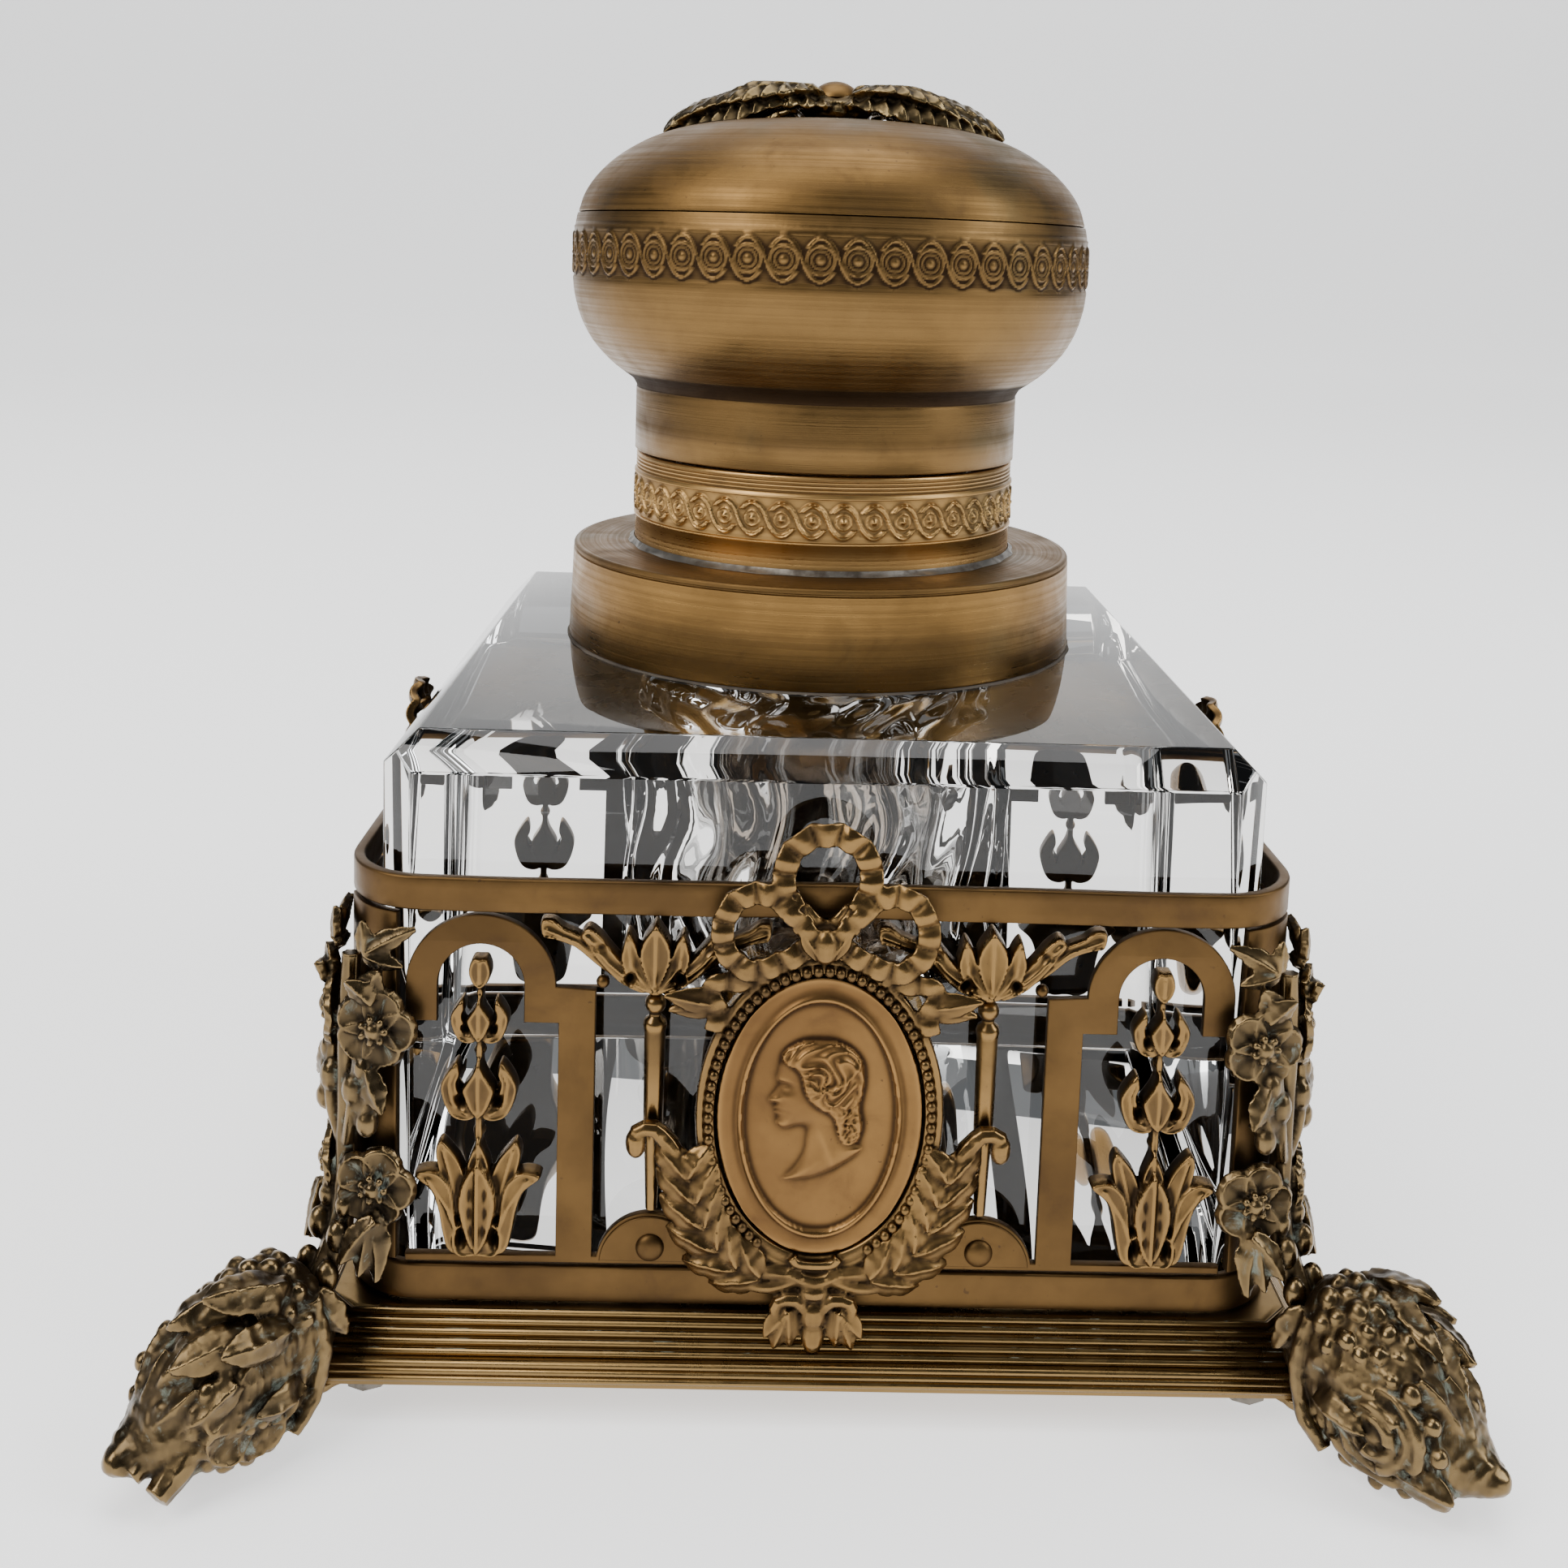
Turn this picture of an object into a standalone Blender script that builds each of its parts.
"""Desk inkwell: a bevelled crystal block with a hinged brass lid, in an openwork brass gallery on four feet.

+Z is up and the front faces -Y. The origin is on the desk, under the middle of the gallery.
"""

from math import cos, pi, radians, sin

import bmesh
import bpy
from mathutils import Matrix, Vector

MM = 0.001

# Driving dimensions
BLOCK_HALF = 42.0 * MM
BLOCK_TOP = 63.5 * MM
WELL_Y = 6.3 * MM  # the well stands a little behind the middle of the block
NECK_RADIUS = 22.6 * MM
GALLERY_HALF = 44.9 * MM  # outer face of the rail and the lower band
GALLERY_CORNER = 7.6 * MM
GALLERY_WALL = 1.1 * MM
RAIL_TOP = 51.3 * MM
RAIL_BOTTOM = 48.1 * MM
BAND_TOP = 13.5 * MM
PLATE_TOP = 9.6 * MM
LID_SEAM = 85.3 * MM  # top of the neck ring
JOINT = 0.3 * MM  # gap kept where one piece rests on another

# Worked out from them
BAND_BOTTOM = PLATE_TOP + JOINT
BLOCK_BOTTOM = PLATE_TOP + JOINT
COLLAR_TOP = BLOCK_TOP + 11.1 * MM
PANEL_BOTTOM = BAND_TOP + JOINT
PANEL_TOP = RAIL_BOTTOM - JOINT
PANEL_THICK = 0.9 * MM
PANEL_AT = GALLERY_HALF - GALLERY_WALL / 2
CORNER_CENTRE = GALLERY_HALF - GALLERY_CORNER
HINGE_Y = WELL_Y + NECK_RADIUS + 1.8 * MM
HINGE_Z = LID_SEAM + JOINT / 2

SIDES = (("front", 0), ("right", 90), ("back", 180), ("left", 270))
CORNERS = (("front_right", 0), ("back_right", 90), ("back_left", 180), ("front_left", 270))
HALVES = (("a", -1), ("b", 1))
TURNED_STEPS = 28


# Scene and materials


def clear_scene():
    for old in list(bpy.data.objects):
        bpy.data.objects.remove(old)


def collection(name):
    made = bpy.data.collections.new(name)
    bpy.context.scene.collection.children.link(made)
    return made


def material(name, colour, roughness, metallic, transmission=0.0):
    made = bpy.data.materials.new(name)
    made.use_nodes = True
    shader = made.node_tree.nodes["Principled BSDF"]
    shader.inputs["Base Color"].default_value = (*colour, 1)
    shader.inputs["Roughness"].default_value = roughness
    shader.inputs["Metallic"].default_value = metallic
    shader.inputs["Transmission Weight"].default_value = transmission
    return made


def add(name, data, finish):
    """A new object of the inkwell."""
    made = bpy.data.objects.new(name, data)
    if not made.data.materials:
        made.data.materials.append(finish)
    INKWELL.objects.link(made)
    return made


# Shaping tools


def arc(centre, radius, start, end, steps):
    """Points on a round or, with two radii, an oval stretch, from one angle in degrees to another."""
    wide, tall = radius if isinstance(radius, tuple) else (radius, radius)
    angles = [radians(start + (end - start) * i / steps) for i in range(steps + 1)]
    return [(centre[0] + wide * cos(a), centre[1] + tall * sin(a)) for a in angles]


def oval(centre, radius, steps):
    """A closed oval outline."""
    return arc(centre, radius, 0, 360, steps)[:-1]


def mirrored(half):
    """A right half outline, from the middle line round to the middle line, with its left half added."""
    left = [(-x, y) for x, y in reversed(half) if x > 1e-7]
    return half + left


def in_mm(points):
    return [(x * MM, y * MM) for x, y in points]


def rounded_square(half, corner, steps=5):
    """A square outline with round corners."""
    points = []
    for quarter, (x, y) in enumerate(((1, 1), (-1, 1), (-1, -1), (1, -1))):
        centre = (x * (half - corner), y * (half - corner))
        points += arc(centre, corner, 90 * quarter, 90 * quarter + 90, steps)
    return points


def slab(name, outlines, low, high, finish):
    """A flat outline in XY, thick from low to high. An outline inside another is a hole."""
    curve = bpy.data.curves.new(name, "CURVE")
    curve.dimensions = "2D"
    curve.fill_mode = "BOTH"
    curve.extrude = (high - low) / 2
    for outline in outlines:
        spline = curve.splines.new("POLY")
        spline.points.add(len(outline) - 1)
        for point, (x, y) in zip(spline.points, outline):
            point.co = (x, y, 0, 1)
        spline.use_cyclic_u = True
    made = add(name, curve, finish)
    made.location.z = (low + high) / 2
    return as_mesh(made)


def turned(name, profile, finish, steps=TURNED_STEPS, ring=False):
    """(radius, height) points turned about Z, from the top down the outer side. A ring's profile is closed."""
    mesh = bpy.data.meshes.new(name)
    links = [(i, i + 1) for i in range(len(profile) - 1)]
    if ring:
        links.append((len(profile) - 1, 0))
    mesh.from_pydata([(radius, 0, height) for radius, height in profile], links, [])
    made = add(name, mesh, finish)
    screw = made.modifiers.new("Turn", "SCREW")
    screw.angle = 2 * pi
    screw.steps = screw.render_steps = steps
    screw.use_merge_vertices = True
    screw.merge_threshold = 0.01 * MM
    return made


def stack(name, rings, finish):
    """A closed solid lofted through a stack of like rings of points."""
    bm = bmesh.new()
    levels = [[bm.verts.new(point) for point in ring] for ring in rings]
    bm.faces.new(levels[0])
    bm.faces.new(levels[-1])
    for below, above in zip(levels, levels[1:]):
        for i in range(len(below)):
            bm.faces.new((below[i - 1], below[i], above[i], above[i - 1]))
    bmesh.ops.recalc_face_normals(bm, faces=bm.faces)
    mesh = bpy.data.meshes.new(name)
    bm.to_mesh(mesh)
    bm.free()
    return add(name, mesh, finish)


def lump(name, centre, sizes, finish, segments=10, rings=6):
    """An ellipsoid with the given half sizes."""
    bm = bmesh.new()
    bmesh.ops.create_uvsphere(bm, u_segments=segments, v_segments=rings, radius=1)
    bmesh.ops.scale(bm, vec=sizes, verts=bm.verts)
    bmesh.ops.translate(bm, vec=centre, verts=bm.verts)
    mesh = bpy.data.meshes.new(name)
    bm.to_mesh(mesh)
    bm.free()
    return add(name, mesh, finish)


def box(name, low, high, finish):
    bm = bmesh.new()
    bmesh.ops.create_cube(bm, size=1)
    low, high = Vector(low), Vector(high)
    bmesh.ops.scale(bm, vec=high - low, verts=bm.verts)
    bmesh.ops.translate(bm, vec=(low + high) / 2, verts=bm.verts)
    mesh = bpy.data.meshes.new(name)
    bm.to_mesh(mesh)
    bm.free()
    return add(name, mesh, finish)


def rod(name, radius, start, end, finish, segments=12):
    """A plain cylinder between two points."""
    start, end = Vector(start), Vector(end)
    along = end - start
    bm = bmesh.new()
    bmesh.ops.create_cone(
        bm, cap_ends=True, segments=segments, radius1=radius, radius2=radius, depth=along.length
    )
    turn = along.to_track_quat("Z", "Y").to_matrix().to_4x4()
    bm.transform(Matrix.Translation((start + end) / 2) @ turn)
    mesh = bpy.data.meshes.new(name)
    bm.to_mesh(mesh)
    bm.free()
    return add(name, mesh, finish)


def tube(name, points, radius, finish):
    """A bent rod along a list of points."""
    curve = bpy.data.curves.new(name, "CURVE")
    curve.dimensions = "3D"
    curve.bevel_depth = radius
    curve.bevel_resolution = 1
    curve.use_fill_caps = True
    spline = curve.splines.new("POLY")
    spline.points.add(len(points) - 1)
    for point, place in zip(spline.points, points):
        point.co = (*place, 1)
    return as_mesh(add(name, curve, finish))


def as_mesh(source):
    """The object as its modifiers leave it, with its place in its mesh, in place of the source object."""
    bpy.context.view_layer.update()
    graph = bpy.context.evaluated_depsgraph_get()
    mesh = bpy.data.meshes.new_from_object(source.evaluated_get(graph))
    mesh.transform(source.matrix_world)
    bm = bmesh.new()
    bm.from_mesh(mesh)
    bmesh.ops.remove_doubles(bm, verts=bm.verts, dist=0.001 * MM)
    bm.to_mesh(mesh)
    bm.free()
    name, finish = source.name, source.data.materials[0]
    bpy.data.objects.remove(source)
    return add(name, mesh, finish)


def combined(base, others, operation):
    """The base with the others joined to it or cut from it. The others are used up."""
    base = as_mesh(base) if base.modifiers else base
    for other in others:
        other = as_mesh(other) if other.modifiers else other
        step = base.modifiers.new("Combine", "BOOLEAN")
        step.operation = operation
        step.object = other
        base = as_mesh(base)
        bpy.data.objects.remove(other)
    return base


def joined(base, *others):
    return combined(base, others, "UNION")


def cut(base, *others):
    return combined(base, others, "DIFFERENCE")


def pivot(name, place, parent=None):
    """An empty that moving pieces hang on, placed on their joint's axis."""
    made = bpy.data.objects.new(name, None)
    made.location = Vector(place)
    if parent:
        made.parent = parent
        made.location -= parent.location
    INKWELL.objects.link(made)
    bpy.context.view_layer.update()
    return made


def hung_on(empty, *pieces):
    """Moves the pieces' origins to the empty and parents them to it."""
    for piece in pieces:
        piece.data.transform(Matrix.Translation(-empty.matrix_world.translation))
        piece.parent = empty


def stood_up(piece, side_y, x=0.0):
    """Stands a piece drawn flat in XY against the front, with its back in the plane y = side_y."""
    piece.data.transform(Matrix.Translation((x, side_y, 0)) @ Matrix.Rotation(pi / 2, 4, "X"))
    return piece


def repeated(piece, names_and_degrees):
    """The piece and its copies, turned about Z. They share one mesh."""
    base = piece.name
    for name, degrees in names_and_degrees:
        copy = add(f"{base}_{name}", piece.data, piece.data.materials[0])
        copy.rotation_euler.z = radians(degrees)
    bpy.data.objects.remove(piece)


def smoothed():
    """Round pieces shade smooth, and their sharp edges stay sharp."""
    for piece in INKWELL.objects:
        if piece.type != "MESH":
            continue
        piece.data.shade_smooth()
        piece.data.set_sharp_from_angle(angle=radians(35))


# Base: the plate and its feet

PLATE_CANT = 3.5 * MM
SCREW_AT = 60.0 * MM  # along the diagonal
SCREW_TOP = 7.0 * MM


def canted_square(half, height):
    """A square ring of points with its corners cut off."""
    near = half - PLATE_CANT
    ring = []
    for x, y in ((1, -1), (1, 1), (-1, 1), (-1, -1)):
        ends = [(x * near, y * half), (x * half, y * near)]
        ring += ends if x * y < 0 else ends[::-1]
    return [(x, y, height) for x, y in ring]


def base_plate():
    """A reeded slab with three steps above it."""
    reeds = (48.1, 3.5), (48.5, 3.8), (48.5, 4.3), (48.1, 4.6), (48.5, 4.9), (48.5, 5.4), (48.1, 5.7)
    steps = (47.6, 6.4), (47.6, 7.0), (46.8, 7.1), (46.8, 7.8)
    steps += (46.0, 7.9), (46.0, 8.7), (45.3, 8.8), (45.3, 9.6)
    rings = [canted_square(half * MM, height * MM) for half, height in reeds + steps]
    plate = stack("base_plate", rings, BRASS)
    holes = []
    for _, degrees in CORNERS:
        at = diagonal(SCREW_AT, 0, 0, degrees)
        holes.append(
            rod("screw_hole", 1.3 * MM, at, at + Vector((0, 0, SCREW_TOP + JOINT)), BRASS)
        )
    return cut(plate, *holes)


def diagonal(along, across, height, degrees=0):
    """A point by its distance along a corner's diagonal, across it, and its height. Degrees turns it."""
    turn = Matrix.Rotation(radians(degrees - 45), 3, "Z")
    return turn @ Vector((along, across, height))


def foot():
    """A leafy horn that leaves the plate's corner and turns up at its toe, with a lug under the plate."""
    # distance along the diagonal, lowest and highest point, half width
    sections = (
        (66.4, 5.0, 13.0, 3.6),
        (68.6, 2.6, 16.6, 5.5),
        (72.0, -1.6, 17.4, 6.6),
        (76.0, -1.6, 15.6, 6.6),
        (79.0, 0.6, 12.2, 5.8),
        (81.4, 1.6, 8.8, 4.4),
        (83.2, 2.8, 6.4, 3.0),
        (84.4, 3.6, 5.2, 1.7),
    )
    rings = []
    for along, low, high, half in sections:
        section = oval((0, (low + high) / 2), (half, (high - low) / 2), 12)
        rings.append([diagonal(along * MM, x * MM, max(z, 0) * MM) for x, z in section])
    body = stack("foot", rings, BRASS)
    lug = box("lug", (56 * MM, -3.6 * MM, 1.5 * MM), (73 * MM, 3.6 * MM, 3.2 * MM), BRASS)
    lug.data.transform(Matrix.Rotation(radians(-45), 4, "Z"))
    hole = rod(
        "lug_hole", 1.3 * MM, diagonal(SCREW_AT, 0, 0), diagonal(SCREW_AT, 0, 5 * MM), BRASS
    )
    return cut(joined(body, lug), hole)


def foot_screw():
    """A cheese-head screw that goes up through the lug into the plate."""
    shank, head, head_low, head_high = 1.0 * MM, 2.2 * MM, 0.3 * MM, 1.2 * MM
    profile = (0, SCREW_TOP), (shank, SCREW_TOP), (shank, head_high)
    profile += (head, head_high), (head, head_low), (0, head_low)
    screw = as_mesh(turned("foot_screw", profile, STEEL, steps=8))
    screw.data.transform(Matrix.Translation(diagonal(SCREW_AT, 0, 0)))
    return screw


# Gallery: bands, posts, fretted panels and their castings

PILASTER = (21.0, 24.4)
ARCH_X, ARCH_Z = 31.6, 41.0
ARCH_OUTER, ARCH_INNER = 6.9, 4.0
ARCH_FOOT = 37.5
DISC_X, DISC_RADIUS = 15.5, 5.1
SILL_TOP = 14.5


def bent_band(name, low, high):
    """A strip bent round into a square with round corners."""
    outer = rounded_square(GALLERY_HALF, GALLERY_CORNER)
    inner = rounded_square(GALLERY_HALF - GALLERY_WALL, GALLERY_CORNER - GALLERY_WALL)
    return slab(name, [outer, inner], low, high, BRASS)


def corner_post():
    """A curved strip that closes the corner between two panels."""
    centre = (CORNER_CENTRE, -CORNER_CENTRE)
    outer = GALLERY_CORNER - 0.1 * MM
    outline = arc(centre, outer, -74, -16, 6) + arc(centre, outer - PANEL_THICK, -16, -74, 6)
    return slab("corner_post", [outline], PANEL_BOTTOM, PANEL_TOP, BRASS)


def panel():
    """One side's fret: a sill with a half disc, a pilaster and a round arch on each side of the middle."""
    low = PANEL_BOTTOM / MM
    half = [(0, low), (ARCH_X + ARCH_OUTER, low), (ARCH_X + ARCH_OUTER, SILL_TOP)]
    half += [(PILASTER[1], SILL_TOP), (PILASTER[1], ARCH_FOOT), (ARCH_X - ARCH_INNER, ARCH_FOOT)]
    half += arc((ARCH_X, ARCH_Z), ARCH_INNER, 180, 0, 8)
    half += [(ARCH_X + ARCH_INNER, ARCH_FOOT), (ARCH_X + ARCH_OUTER, ARCH_FOOT)]
    half += arc((ARCH_X, ARCH_Z), (ARCH_OUTER, PANEL_TOP / MM - ARCH_Z), 0, 180, 10)
    half += [(PILASTER[0], ARCH_Z), (PILASTER[0], SILL_TOP)]
    half += arc((DISC_X, low), DISC_RADIUS, 8, 172, 8)
    half += [(0, SILL_TOP)]
    fret = slab("panel", [in_mm(mirrored(half))], -PANEL_THICK / 2, PANEL_THICK / 2, BRASS)
    return stood_up(fret, -PANEL_AT)


def husk_drop(side):
    """The hanging string of bell flowers inside an arch, with a lotus at its foot."""
    lotus = (0, 14.9), (2.5, 15.0), (3.5, 17.2), (4.0, 20.6), (5.7, 23.1)
    lotus += (3.8, 23.1), (3.2, 25.5), (1.6, 24.0), (0.5, 26.1)
    bead = (0.9, 26.9), (0.5, 27.8)
    bell = (2.2, 28.3), (3.4, 30.4), (3.0, 33.3), (1.5, 32.0), (0.5, 34.0)
    upper_bead = (0.9, 34.8), (0.4, 35.7)
    bud = (1.7, 36.0), (2.5, 37.8), (2.2, 40.0), (0.5, 39.4), (0.9, 42.0), (0, 44.1)
    outline = in_mm(mirrored(list(lotus + bead + bell + upper_bead + bud)))
    drop = slab("husk_drop", [outline], -0.7 * MM, 0.7 * MM, BRASS)
    return stood_up(drop, -PANEL_AT - 0.2 * MM, side * ARCH_X * MM)


def baluster(side):
    """A tapering shaft with a ball and a lotus capital whose leaves run along under the rail."""
    shaft_profile = (0, 41.0), (0.7, 41.0), (0.7, 40.3), (1.1, 39.5)
    shaft_profile += (0.7, 38.6), (1.0, 38.2), (0.55, 19.3), (0, 19.3)
    shaft = as_mesh(turned("baluster", in_mm(shaft_profile), BRASS, steps=6))
    shaft.data.transform(Matrix.Translation((side * DISC_X * MM, -PANEL_AT, 0)))
    flower = (0, 40.5), (1.4, 40.7), (2.8, 42.0), (3.4, 43.7)
    flower += (5.2, 44.2), (7.4, 45.2), (10.4, 46.9), (10.4, 47.7)
    tips = (6.0, 46.9), (3.9, 46.2), (3.4, 47.4), (2.2, 46.2), (1.4, 47.0), (0, 47.7)
    outline = in_mm(mirrored(list(flower + tips)))
    capital = slab("capital", [outline], -0.8 * MM, 0.8 * MM, BRASS)
    stood_up(capital, -PANEL_AT, side * DISC_X * MM)
    return joined(shaft, capital)


# Medallions

OVAL_Z = 29.8
OVAL_RIM = (11.4, 15.4)
OVAL_SEAT = (9.6, 13.6)
MEDALLION_BACK = GALLERY_HALF + 0.4 * MM
RIM_THICK = 1.9 * MM


def medallion_frame():
    """An oval rim under a ribbon bow, held from below by two acanthus leaves and a tassel."""
    rim = slab(
        "medallion_frame",
        [in_mm(oval((0, OVAL_Z), OVAL_RIM, 20)), in_mm(oval((0, OVAL_Z), OVAL_SEAT, 20))],
        0,
        RIM_THICK,
        BRASS,
    )
    bow_low, bow_high = 0.4 * MM, 1.9 * MM
    ring = slab(
        "bow_ring",
        [in_mm(oval((0, 52.8), (4.7, 4.7), 12)), in_mm(oval((0, 52.8), (2.9, 2.9), 12))],
        bow_low,
        bow_high,
        BRASS,
    )
    knot = mirrored([(0, 44.4), (3.0, 44.2), (5.2, 48.6), (4.4, 50.6), (0, 48.9)])
    parts = [ring, slab("knot", [in_mm(knot)], bow_low, bow_high + 0.3 * MM, BRASS)]
    tail = (8.2, 45.0), (10.2, 44.4), (10.4, 41.4), (14.8, 41.2)
    tail += (12.8, 39.3), (13.6, 37.5), (9.0, 38.0), (8.0, 41.0)
    leaf = (2.0, 12.6), (7.4, 11.8), (12.2, 16.2), (14.4, 21.6), (15.6, 26.8)
    leaf += (17.4, 31.2), (14.4, 31.0), (11.0, 26.0), (8.0, 18.0)
    for side in (-1, 1):
        loop = [
            in_mm(oval((side * 7.6, 48.3), (3.5, 4.5), 10)),
            in_mm(oval((side * 7.6, 48.3), (2.0, 2.9), 10)),
        ]
        parts.append(slab("loop", loop, bow_low + 0.1 * MM, bow_high + 0.15 * MM, BRASS))
        for outline, thick in ((tail, 1.5), (leaf, 1.6)):
            placed = in_mm([(side * x, z) for x, z in outline])
            parts.append(slab("ribbon_or_leaf", [placed], 0.5 * MM, thick * MM, BRASS))
    parts.append(lump("tassel", (0, 11.6 * MM, 1.9 * MM), (4.6 * MM, 3.6 * MM, 1.0 * MM), BRASS, 8, 4))
    return stood_up(joined(rim, *parts), -MEDALLION_BACK)


def cameo():
    """The oval plaque inside the rim: a hollow border round a raised field."""
    levels = (9.2, 13.2, 0.2), (9.2, 13.2, 1.5), (7.9, 11.8, 1.1), (7.3, 11.3, 1.6), (6.8, 10.8, 1.3)
    rings = []
    for wide, tall, depth in levels:
        rings.append([(x, z, depth * MM) for x, z in in_mm(oval((0, OVAL_Z), (wide, tall), 20))])
    return stood_up(stack("cameo", rings, BRASS), -MEDALLION_BACK)


# Corner garlands


def corner_garland():
    """A string of flowers and leaves up the corner post, on a stem that grows out of the foot."""
    stem = [(64.6, 12.0), (63.4, 14.8), (62.5, 19.0), (62.3, 30.0), (62.2, 39.5)]
    made = tube("corner_garland", [diagonal(s * MM, 0, z * MM) for s, z in stem], 1.3 * MM, BRASS)
    # distance along the diagonal, across it, height, half sizes along, across and up
    blooms = [(61.9, 0, 30.0, 1.5, 2.4, 3.0), (63.2, 0, 16.6, 1.6, 3.2, 3.0), (61.8, 0, 41.6, 1.4, 2.4, 2.2)]
    for side in (-1, 1):
        blooms += [(61.0, side * 3.8, 37.2, 2.0, 3.7, 4.0), (61.2, side * 3.9, 22.2, 2.0, 3.7, 4.0)]
    parts = []
    for along, across, height, deep, wide, tall in blooms:
        bloom = lump("bloom", (0, 0, 0), (deep * MM, wide * MM, tall * MM), BRASS, 6, 4)
        bloom.data.transform(Matrix.Rotation(radians(45 * across / 5), 4, "Z"))
        bloom.data.transform(Matrix.Translation((along * MM, across * MM, height * MM)))
        bloom.data.transform(Matrix.Rotation(radians(-45), 4, "Z"))
        parts.append(bloom)
    grown = joined(made, *parts)
    return cut(grown, corner_room())


def corner_room():
    """The corner of the gallery with a joint's gap round it, cut out of what is laid on the corner."""
    outline = rounded_square(GALLERY_HALF + JOINT, GALLERY_CORNER + JOINT)
    return slab("corner_room", [outline], 5 * MM, RAIL_TOP, BRASS)


# Crystal block, collar and neck

BORE_RADIUS = 20.6 * MM
GLASS_NECK_RADIUS = 25.0 * MM
WELL_FLOOR = 25.0 * MM
EDGE_FACET = 3.2 * MM
TOP_BEVEL = (3.3 * MM, 2.9 * MM)  # inwards and down
FOOT_BEVEL = (1.0 * MM, 1.0 * MM)


def sliced(bm, point, normal):
    """Takes off what lies beyond a plane and closes the cut."""
    whole = bm.verts[:] + bm.edges[:] + bm.faces[:]
    done = bmesh.ops.bisect_plane(
        bm, geom=whole, dist=1e-7, plane_co=point, plane_no=normal, clear_outer=True
    )
    rim = [item for item in done["geom_cut"] if isinstance(item, bmesh.types.BMEdge)]
    bmesh.ops.contextual_create(bm, geom=rim)


def crystal_block():
    """A square block with facets down its corners and bevels round its top, a short neck and a round well."""
    half, low, high = BLOCK_HALF, BLOCK_BOTTOM, BLOCK_TOP
    block = box("crystal_block", (-half, -half, low), (half, half, high), CRYSTAL)
    bm = bmesh.new()
    bm.from_mesh(block.data)
    for degrees in (0, 90, 180, 270):
        turn = Matrix.Rotation(radians(degrees), 3, "Z")
        sliced(bm, turn @ Vector((half - EDGE_FACET, -half, 0)), turn @ Vector((1, -1, 0)))
        for (inwards, down), level, way in ((TOP_BEVEL, high, 1), (FOOT_BEVEL, low, -1)):
            edge = turn @ Vector((half - inwards, 0, level))
            sliced(bm, edge, turn @ Vector((down, 0, way * inwards)))
    bm.to_mesh(block.data)
    bm.free()
    top, foot = 72.6 * MM, high - 2 * MM
    neck_profile = (0, top), (GLASS_NECK_RADIUS, top), (GLASS_NECK_RADIUS, foot), (0, foot)
    neck = turned("glass_neck", neck_profile, CRYSTAL)
    rounding = 9 * MM
    bore = [(0, 75 * MM), (BORE_RADIUS, 75 * MM)]
    bore += arc((BORE_RADIUS - rounding, WELL_FLOOR + rounding), rounding, 0, -90, 5)
    bore += [(0, WELL_FLOOR)]
    well = turned("well", bore, CRYSTAL)
    neck.location.y = well.location.y = WELL_Y
    return cut(joined(block, neck), well)


def collar():
    """The brass cap ring that is cemented over the glass neck."""
    outer = [(29.0, 74.6), (29.5, 74.2), (29.5, 73.6), (29.9, 63.8)]
    inner = [(28.7, 63.8), (28.4, 73.2), (19.7, 73.2), (19.7, 74.6)]
    return at_well(turned("collar", in_mm(outer + inner), BRASS, ring=True))


def cement_ring():
    """Plaster that fills the space between the glass neck and the collar."""
    profile = [(28.1, 72.9), (28.3, 63.9), (25.3, 63.9), (25.3, 72.9)]
    return at_well(turned("cement_ring", in_mm(profile), PLASTER, ring=True))


def neck_ring():
    """The ring that the lid closes on, with a raised band round it and fine turned lines under its lip."""
    outer = [(22.2, 85.3), (22.5, 85.0), (22.5, 83.6), (22.2, 83.3)]
    outer += [(22.6, 83.0), (22.6, 77.0), (22.3, 76.7), (22.3, 74.9)]
    inner = [(20.9, 74.9), (20.9, 85.3)]
    return at_well(turned("neck_ring", in_mm(outer + inner), BRASS, ring=True))


def ink_liner():
    """The glass cup that holds the ink. Its flange rests on the collar, so it lifts out."""
    outside = [(17.9, 84.0), (18.4, 83.4), (18.4, 77.0), (20.3, 76.8), (20.3, 75.0)]
    outside += [(19.2, 74.9), (19.2, 36.0)] + arc((11.2, 36.0), 8.0, -18, -90, 3) + [(0, 28.0)]
    inside = [(0, 30.2)] + arc((9.9, 37.5), 7.3, -90, 0, 3) + [(17.2, 77.0), (16.9, 84.0)]
    return at_well(turned("ink_liner", in_mm(inside + outside), LINER_GLASS, steps=20))


def at_well(piece):
    """Stands a turned piece over the well."""
    piece = as_mesh(piece) if piece.modifiers else piece
    piece.data.transform(Matrix.Translation((0, WELL_Y, 0)))
    return piece


# Lid

LID_WALL = 1.2
BOWL = [(29.6, 112.8), (30.2, 108.8), (30.1, 104.6), (28.9, 100.2)]
BOWL += [(26.2, 96.2), (23.1, 93.2), (22.5, 91.2), (22.5, 85.6)]
DOME = [(1.4, 124.4), (9.0, 124.1), (16.7, 123.0), (22.6, 120.7), (26.6, 117.6), (28.7, 115.2), (29.5, 113.1)]
WREATH_RADIUS = 18.0


def inwards(profile, wall):
    """The inner side of a shell: the profile moved in by the wall, square to its own run."""
    moved = []
    for i, (radius, height) in enumerate(profile):
        before, after = profile[max(i - 1, 0)], profile[min(i + 1, len(profile) - 1)]
        run = Vector((after[0] - before[0], after[1] - before[1])).normalized()
        moved.append((radius + run.y * wall, height - run.x * wall))
    return moved


def lid_bowl():
    """The lower shell of the lid, from its straight neck to the widest part of the bulb."""
    inner = inwards(BOWL, LID_WALL)
    inner[0] = (inner[0][0], BOWL[0][1])
    inner[-1] = (inner[-1][0], BOWL[-1][1])
    return at_well(turned("lid_bowl", in_mm(BOWL + inner[::-1]), BRASS, ring=True))


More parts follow.
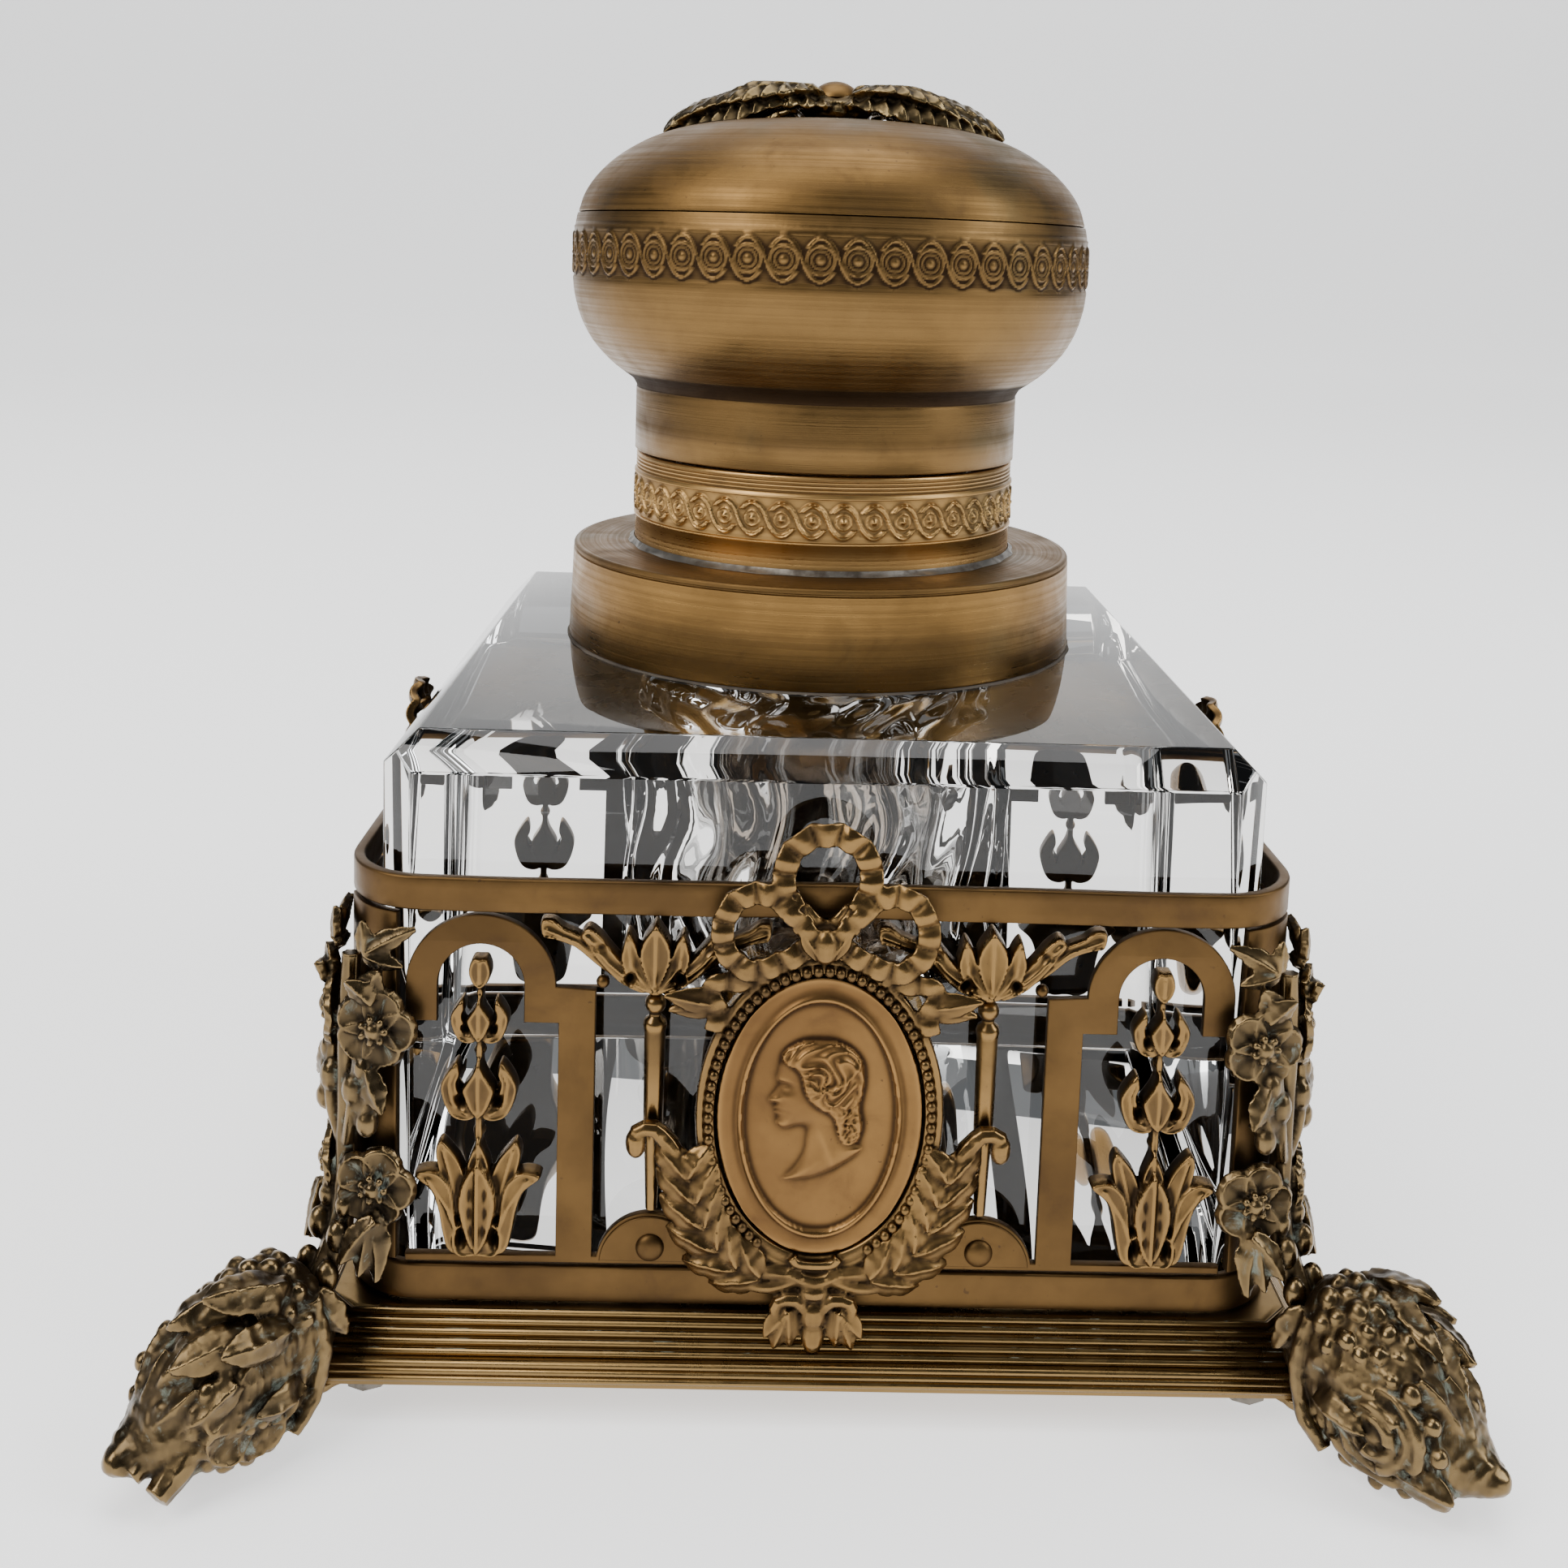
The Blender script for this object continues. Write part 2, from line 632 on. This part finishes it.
def lid_dome():
    """The upper shell, with a rim that drops into the bowl and a hole for the ornament's stud."""
    spigot = [(28.0, 113.1), (27.9, 110.6), (27.1, 110.6), (27.2, 113.6)]
    inner = inwards(DOME[:-1], LID_WALL)
    inner[0] = (DOME[0][0], inner[0][1])
    return at_well(turned("lid_dome", in_mm(DOME + spigot + inner[::-1]), BRASS, ring=True))


def dome_height(radius):
    """Height of the dome's outer face at a radius, read along its profile."""
    for (near, high), (far, low) in zip(DOME, DOME[1:]):
        if near <= radius <= far:
            return high + (low - high) * (radius - near) / (far - near)
    return DOME[0][1]


def lid_wreath():
    """A low wreath of leaves laid over the dome, with a hole for its stud."""
    top = [(1.4, 127.0), (6.0, 128.0), (11.0, 127.0), (15.5, 125.0), (WREATH_RADIUS, 123.4)]
    under = [(r, dome_height(r) + 0.35) for r in (WREATH_RADIUS - 0.2, 15.0, 9.0, 1.4)]
    return at_well(turned("lid_wreath", in_mm(top + under), BRASS, steps=20, ring=True))


def wreath_stud():
    """The domed stud in the middle of the wreath, which passes through the lid."""
    profile = [(0, 129.0), (1.6, 128.8), (2.8, 128.3), (1.0, 127.6), (1.0, 118.6), (0, 118.6)]
    return at_well(turned("wreath_stud", in_mm(profile), BRASS, steps=12))


def wreath_nut():
    """The nut that holds the stud, inside the dome."""
    profile = [(2.6, 122.6), (2.6, 120.6), (1.2, 120.6), (1.2, 122.6)]
    return at_well(turned("wreath_nut", in_mm(profile), BRASS, steps=6, ring=True))


# Hinge

KNUCKLE = 1.45 * MM
PIN_RADIUS = 0.6 * MM
MIDDLE_KNUCKLE = 3.0 * MM
HINGE_HALF = 6.5 * MM
LEAF_BACK = WELL_Y + NECK_RADIUS + JOINT


def hinge_barrel(name, start, end):
    return rod(name, KNUCKLE, (start, HINGE_Y, HINGE_Z), (end, HINGE_Y, HINGE_Z), BRASS, 16)


def pin_hole():
    reach = HINGE_HALF + 2 * MM
    return rod(
        "pin_hole", PIN_RADIUS + 0.08 * MM, (-reach, HINGE_Y, HINGE_Z), (reach, HINGE_Y, HINGE_Z), BRASS, 16
    )


def hinge_leaf_lower():
    """The leaf on the neck ring, with the middle knuckle."""
    top = HINGE_Z - 0.4 * MM
    leaf = box(
        "hinge_leaf_lower",
        (-HINGE_HALF, LEAF_BACK, 78.5 * MM),
        (HINGE_HALF, LEAF_BACK + 0.9 * MM, top - 1.4 * MM),
        BRASS,
    )
    bridge = box(
        "bridge", (-MIDDLE_KNUCKLE, LEAF_BACK, top - 2.4 * MM), (MIDDLE_KNUCKLE, HINGE_Y, top), BRASS
    )
    barrel = hinge_barrel("barrel", -MIDDLE_KNUCKLE, MIDDLE_KNUCKLE)
    return cut(joined(leaf, bridge, barrel), pin_hole())


def hinge_leaf_upper():
    """The leaf on the lid, with the two outer knuckles."""
    low = HINGE_Z + 1.8 * MM
    leaf = box(
        "hinge_leaf_upper", (-HINGE_HALF, LEAF_BACK, low), (HINGE_HALF, LEAF_BACK + 0.9 * MM, 91.0 * MM), BRASS
    )
    parts = []
    for side in (-1, 1):
        near, far = side * (MIDDLE_KNUCKLE + JOINT), side * HINGE_HALF
        left, right = min(near, far), max(near, far)
        parts.append(
            box("bridge", (left, LEAF_BACK, HINGE_Z + 0.4 * MM), (right, HINGE_Y, low + 1 * MM), BRASS)
        )
        parts.append(hinge_barrel("barrel", left, right))
    return cut(joined(leaf, *parts), pin_hole())


def hinge_pin():
    reach = HINGE_HALF + 0.6 * MM
    return rod("hinge_pin", PIN_RADIUS, (-reach, HINGE_Y, HINGE_Z), (reach, HINGE_Y, HINGE_Z), STEEL, 12)


# Build

clear_scene()
INKWELL = collection("inkwell")
BRASS = material("aged_brass", (0.44, 0.30, 0.12), 0.38, 1.0)
STEEL = material("steel", (0.45, 0.43, 0.40), 0.4, 1.0)
CRYSTAL = material("crystal", (0.96, 0.97, 0.97), 0.02, 0.0, 1.0)
LINER_GLASS = material("liner_glass", (0.92, 0.95, 0.95), 0.06, 0.0, 1.0)
PLASTER = material("plaster", (0.72, 0.69, 0.62), 0.9, 0.0)

base_plate()
repeated(foot(), CORNERS)
repeated(foot_screw(), CORNERS)
bent_band("lower_band", BAND_BOTTOM, BAND_TOP)
bent_band("upper_rail", RAIL_BOTTOM, RAIL_TOP)
repeated(corner_post(), CORNERS)
repeated(corner_garland(), CORNERS)
repeated(panel(), SIDES)
for half_name, half_side in HALVES:
    repeated(husk_drop(half_side), [(f"{side}_{half_name}", turn) for side, turn in SIDES])
    repeated(baluster(half_side), [(f"{side}_{half_name}", turn) for side, turn in SIDES])
repeated(medallion_frame(), SIDES)
repeated(cameo(), SIDES)

block_lift = pivot("block_lift", (0, WELL_Y, 0))
liner_lift = pivot("liner_lift", (0, WELL_Y, COLLAR_TOP), block_lift)
lid_hinge = pivot("lid_hinge", (0, HINGE_Y, HINGE_Z), block_lift)
hung_on(block_lift, crystal_block(), collar(), cement_ring(), neck_ring(), hinge_leaf_lower(), hinge_pin())
hung_on(liner_lift, ink_liner())
hung_on(lid_hinge, lid_bowl(), lid_dome(), lid_wreath(), wreath_stud(), wreath_nut(), hinge_leaf_upper())
smoothed()
